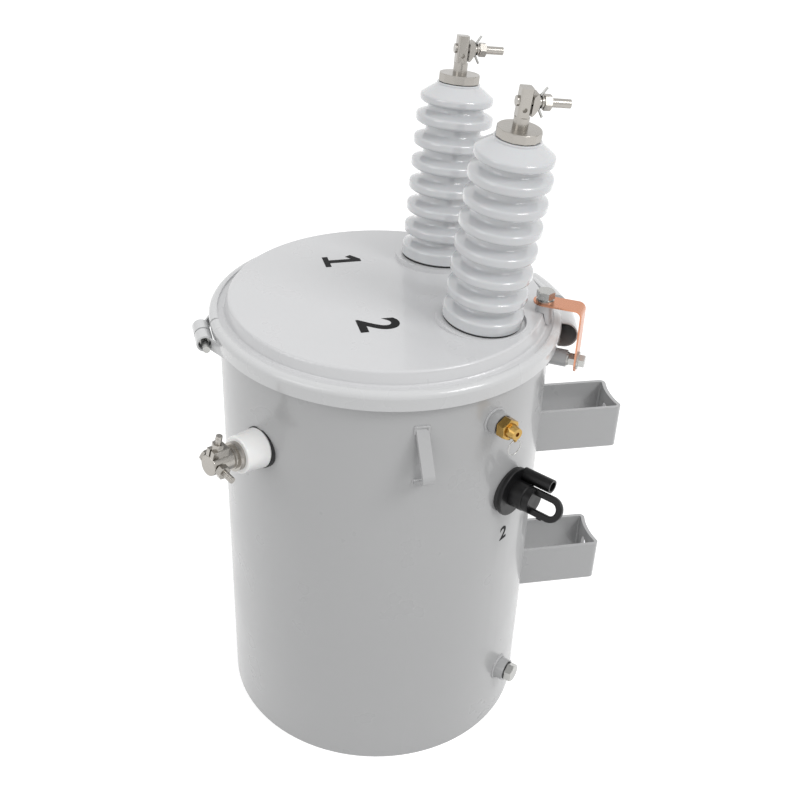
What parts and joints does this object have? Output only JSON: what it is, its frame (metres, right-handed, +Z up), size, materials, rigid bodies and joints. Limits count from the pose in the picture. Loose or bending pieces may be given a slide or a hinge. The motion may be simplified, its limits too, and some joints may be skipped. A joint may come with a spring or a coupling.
{
  "type": "pole-mounted distribution transformer",
  "caption": "Round-tank overhead transformer with ribbed porcelain bushings on a clamped cover, side terminal, tap switch, relief valve, drain, earth strap and pole brackets.",
  "frame": {"origin": "on the tank's axis, level with the bottom edge of the tank wall that it stands on", "axes": "+Z up along the tank's axis, +Y towards the pole and its two brackets, +X towards one lifting lug"},
  "size_m": [0.5776, 0.6832, 1.0729],
  "materials": {
    "tank_paint": "light grey gloss paint",
    "cover_paint": "pale grey gloss paint",
    "band_paint": "pale grey gloss paint",
    "dark_rubber": "black",
    "plated_steel": "zinc plated",
    "grey_porcelain": "light grey glaze",
    "white_porcelain": "white glaze",
    "brass": "plain brass",
    "tinned_brass": "tin plated",
    "black_plastic": "satin black",
    "insulating_board": "oiled pressboard and laminate",
    "copper": "bare copper",
    "core_steel": "wound silicon steel",
    "winding_metal": "strip winding",
    "winding_wire": "enamelled copper wire",
    "core_clamp_paint": "dark primer",
    "lead_paper": "crepe paper on copper"
  },
  "bodies": {
    "transformer": {"tank_shell": "tank_paint", "tank_bottom": "tank_paint", "cover": "cover_paint", "cover_gasket": "dark_rubber", "band_half_near": "band_paint", "band_half_far": "band_paint", "band_bolts": "plated_steel", "hv_bushing_1": "grey_porcelain", "hv_bushing_2": "grey_porcelain", "hv_base_gaskets": "dark_rubber", "hv_top_seals": "dark_rubber", "hv_studs": "brass", "bushing_clamp_rings": "plated_steel", "hv_cap_nuts": "tinned_brass", "hv_terminal_1": "tinned_brass", "hv_terminal_2": "tinned_brass", "hv_jaws": "tinned_brass", "hv_clamp_bolts": "tinned_brass", "hv_clamp_nuts": "tinned_brass", "hv_jaw_clips": "plated_steel", "lv_bushing": "white_porcelain", "lv_gasket": "dark_rubber", "lv_terminal": "tinned_brass", "lv_saddle": "tinned_brass", "lv_clamp_bolts": "tinned_brass", "lifting_lug_1": "tank_paint", "lifting_lug_2": "tank_paint", "pole_bracket_lower": "tank_paint", "pole_bracket_upper": "tank_paint", "relief_coupling": "tank_paint", "relief_seal": "dark_rubber", "relief_valve_body": "brass", "switch_gasket": "dark_rubber", "switch_housing": "black_plastic", "switch_lock_nut": "black_plastic", "switch_deck": "insulating_board", "drain_coupling": "tank_paint", "drain_washer": "dark_rubber", "drain_plug": "plated_steel", "cover_earth_boss": "cover_paint", "tank_earth_boss": "tank_paint", "earth_strap": "copper", "earth_washers": "plated_steel", "earth_bolts": "plated_steel", "core_loop_1": "core_steel", "core_loop_2": "core_steel", "lv_winding": "winding_metal", "winding_barrier": "insulating_board", "hv_winding": "winding_wire", "core_clamp_bottom": "core_clamp_paint", "core_clamp_top": "core_clamp_paint", "core_tie_rods": "plated_steel", "hv_leads": "lead_paper", "lv_lead": "lead_paper"},
    "relief_plunger": {"relief_poppet": "brass", "relief_cap": "brass", "relief_spring": "plated_steel"},
    "pull_ring": {"relief_pull_ring": "plated_steel"},
    "tap_selector": {"switch_knob": "black_plastic", "switch_shaft": "insulating_board"}
  },
  "joints": [
    {"name": "relief_lift", "type": "slide", "parent": "transformer", "child": "relief_plunger", "axis": [0.8846, 0.4664, 0], "range_m": [0, 0.0025], "stiffness_N_per_m": 2000, "springref_m": -0.0027},
    {"name": "ring_swing", "type": "hinge", "parent": "relief_plunger", "child": "pull_ring", "pos_m": [0.25777, 0.1359, 0.6227], "axis": [-0.4664, 0.8846, 0], "range_deg": [-95, 50]},
    {"name": "tap_turn", "type": "hinge", "parent": "transformer", "child": "tap_selector", "pos_m": [0.23215, 0.19001, 0.489], "axis": [0.7738, 0.6334, 0], "range_deg": [-60, 60]}
  ]
}
